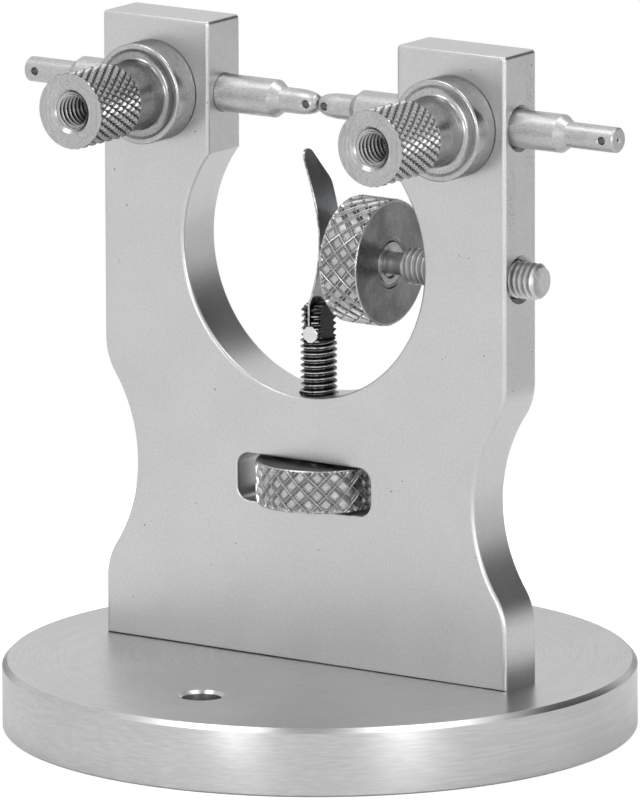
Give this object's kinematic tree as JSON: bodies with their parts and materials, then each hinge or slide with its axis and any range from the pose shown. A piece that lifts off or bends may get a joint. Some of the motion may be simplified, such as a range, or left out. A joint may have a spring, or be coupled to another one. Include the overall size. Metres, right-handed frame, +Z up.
{
  "type": "balance truing caliper",
  "caption": "Steel truing caliper for watch balances: a slotted plate on a round base, two clamped runners tip to tip and an index leaf set by knurled wheels.",
  "frame": {"origin": "centre of the base's underside", "axes": "+Z up, -Y towards the side with the clamp nuts, +X to the right seen from that side"},
  "size_m": [0.0556, 0.05, 0.0555],
  "materials": {
    "base_steel": "turned satin stainless steel",
    "plate_steel": "fine satin stainless steel",
    "knurled_steel": "knurled and turned steel",
    "turned_steel": "turned steel",
    "polished_steel": "polished hardened steel",
    "black_screw": "black oxide steel",
    "blued_steel": "dark blued spring steel"
  },
  "bodies": {
    "root": {"base": "base_steel", "frame": "plate_steel", "left_base_screw": "black_screw", "right_base_screw": "black_screw"},
    "left_nut": {"left_clamp_nut": "knurled_steel"},
    "right_nut": {"right_clamp_nut": "knurled_steel"},
    "left_bolt": {"left_draw_bolt": "turned_steel"},
    "right_bolt": {"right_draw_bolt": "turned_steel"},
    "left_rod": {"left_runner": "turned_steel"},
    "right_rod": {"right_runner": "turned_steel"},
    "height_wheel": {"height_nut": "knurled_steel"},
    "index_carrier": {"index_screw": "black_screw"},
    "leaf": {"index_leaf": "blued_steel", "leaf_pin": "polished_steel"},
    "pusher": {"pusher_pin": "polished_steel"},
    "side_screw": {"side_wheel": "knurled_steel", "side_stud": "turned_steel"}
  },
  "joints": [
    {"name": "left_runner_slide", "type": "slide", "parent": "root", "child": "left_rod", "axis": [-1, 0, 0], "range_m": [0, 0.008]},
    {"name": "right_runner_slide", "type": "slide", "parent": "root", "child": "right_rod", "axis": [1, 0, 0], "range_m": [0, 0.008]},
    {"name": "left_clamp_turn", "type": "hinge", "parent": "root", "child": "left_nut", "pos_m": [-0.0141, -0.00217, 0.0496], "axis": [0, -1, 0], "range_deg": [0, 180]},
    {"name": "left_bolt_slide", "type": "slide", "parent": "root", "child": "left_bolt", "axis": [0, 1, 0], "range_m": [0, 0.00025]},
    {"name": "right_clamp_turn", "type": "hinge", "parent": "root", "child": "right_nut", "pos_m": [0.0141, -0.00217, 0.0496], "axis": [0, -1, 0], "range_deg": [0, 180]},
    {"name": "right_bolt_slide", "type": "slide", "parent": "root", "child": "right_bolt", "axis": [0, 1, 0], "range_m": [0, 0.00025]},
    {"name": "height_wheel_turn", "type": "hinge", "parent": "root", "child": "height_wheel", "pos_m": [0, 0, 0.0196], "axis": [0, 0, 1], "range_deg": [-1440, 2880]},
    {"name": "index_slide", "type": "slide", "parent": "root", "child": "index_carrier", "axis": [0, 0, 1], "range_m": [-0.004, 0.002]},
    {"name": "side_screw_turn", "type": "hinge", "parent": "pusher", "child": "side_screw", "pos_m": [0, 0, 0.0377], "axis": [1, 0, 0], "range_deg": [-180, 180]},
    {"name": "pusher_slide", "type": "slide", "parent": "root", "child": "pusher", "axis": [1, 0, 0], "range_m": [-0.00025, 0.00025]},
    {"name": "leaf_swing", "type": "hinge", "parent": "index_carrier", "child": "leaf", "pos_m": [0, 0, 0.0314], "axis": [0, 1, 0], "range_deg": [-2.25, 2.25]}
  ],
  "couplings": [
    {"joint": "left_clamp_turn", "follows": "left_bolt_slide", "rad_per_m": 12566},
    {"joint": "right_clamp_turn", "follows": "right_bolt_slide", "rad_per_m": 12566},
    {"joint": "height_wheel_turn", "follows": "index_slide", "rad_per_m": -12566},
    {"joint": "side_screw_turn", "follows": "pusher_slide", "rad_per_m": 12566},
    {"joint": "leaf_swing", "follows": "pusher_slide", "rad_per_m": 156.2}
  ]
}
